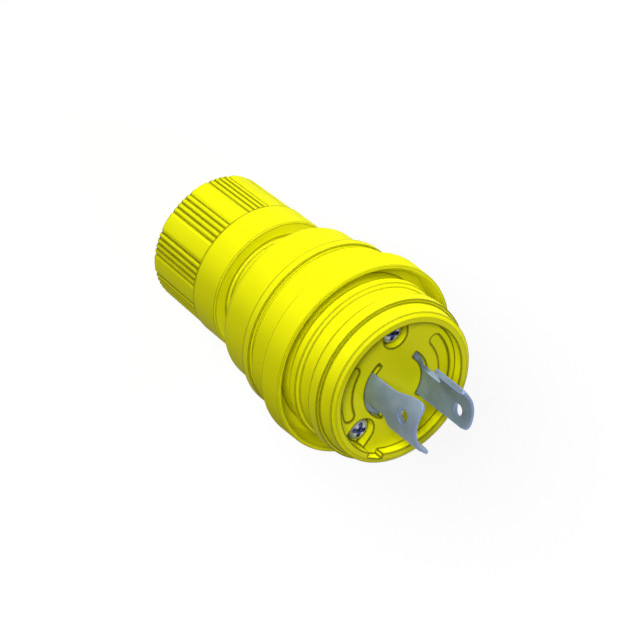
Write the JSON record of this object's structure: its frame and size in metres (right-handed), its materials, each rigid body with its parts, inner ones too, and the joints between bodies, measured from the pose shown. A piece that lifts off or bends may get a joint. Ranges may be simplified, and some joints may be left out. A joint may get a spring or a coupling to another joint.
{
  "type": "locking power plug",
  "caption": "Straight round cord plug for wet places, with curved locking blades, a soft weather skirt round a ribbed nose, and a ribbed cord nut at the rear.",
  "frame": {"origin": "centre of the cord nut's rear face, where the plug stands", "axes": "+Z along the plug's axis towards the blade tips, +X towards the middle of the narrow blade"},
  "size_m": [0.058, 0.058, 0.1103],
  "materials": {
    "yellow_nylon": "fine satin moulded",
    "yellow_rubber": "soft satin",
    "slip_nylon": "natural",
    "black_rubber": "matt",
    "dark_insulator": "matt",
    "blade_metal": "nickel plated",
    "screw_steel": "zinc plated",
    "screw_brass": "plain"
  },
  "bodies": {
    "plug_body": {"housing": "yellow_nylon", "cord_bushing": "black_rubber", "seal_skirt": "yellow_rubber", "blade_carrier": "yellow_nylon", "carrier_gasket": "black_rubber", "terminal_body": "dark_insulator", "wide_blade": "blade_metal", "narrow_blade": "blade_metal", "terminal_screw_wide": "screw_steel", "terminal_screw_narrow": "screw_brass", "clamp_nut_wide": "screw_brass", "clamp_nut_narrow": "screw_brass", "assembly_screw_upper": "screw_steel", "assembly_screw_lower": "screw_steel", "thread_insert_upper": "screw_brass", "thread_insert_lower": "screw_brass", "retainer_screw_upper": "screw_steel", "retainer_screw_lower": "screw_steel"},
    "thrust_ring": {"slip_ring": "slip_nylon"},
    "nut": {"cord_nut": "yellow_nylon"}
  },
  "joints": [
    {"name": "nut_travel", "type": "slide", "parent": "plug_body", "child": "thrust_ring", "axis": [0, 0, -1], "range_m": [0, 0.005]},
    {"name": "nut_turn", "type": "hinge", "parent": "thrust_ring", "child": "nut", "pos_m": [0, 0, 0.015], "axis": [0, 0, -1], "range_deg": [0, 725]}
  ],
  "couplings": [
    {"joint": "nut_turn", "follows": "nut_travel", "rad_per_m": 2513.3}
  ]
}
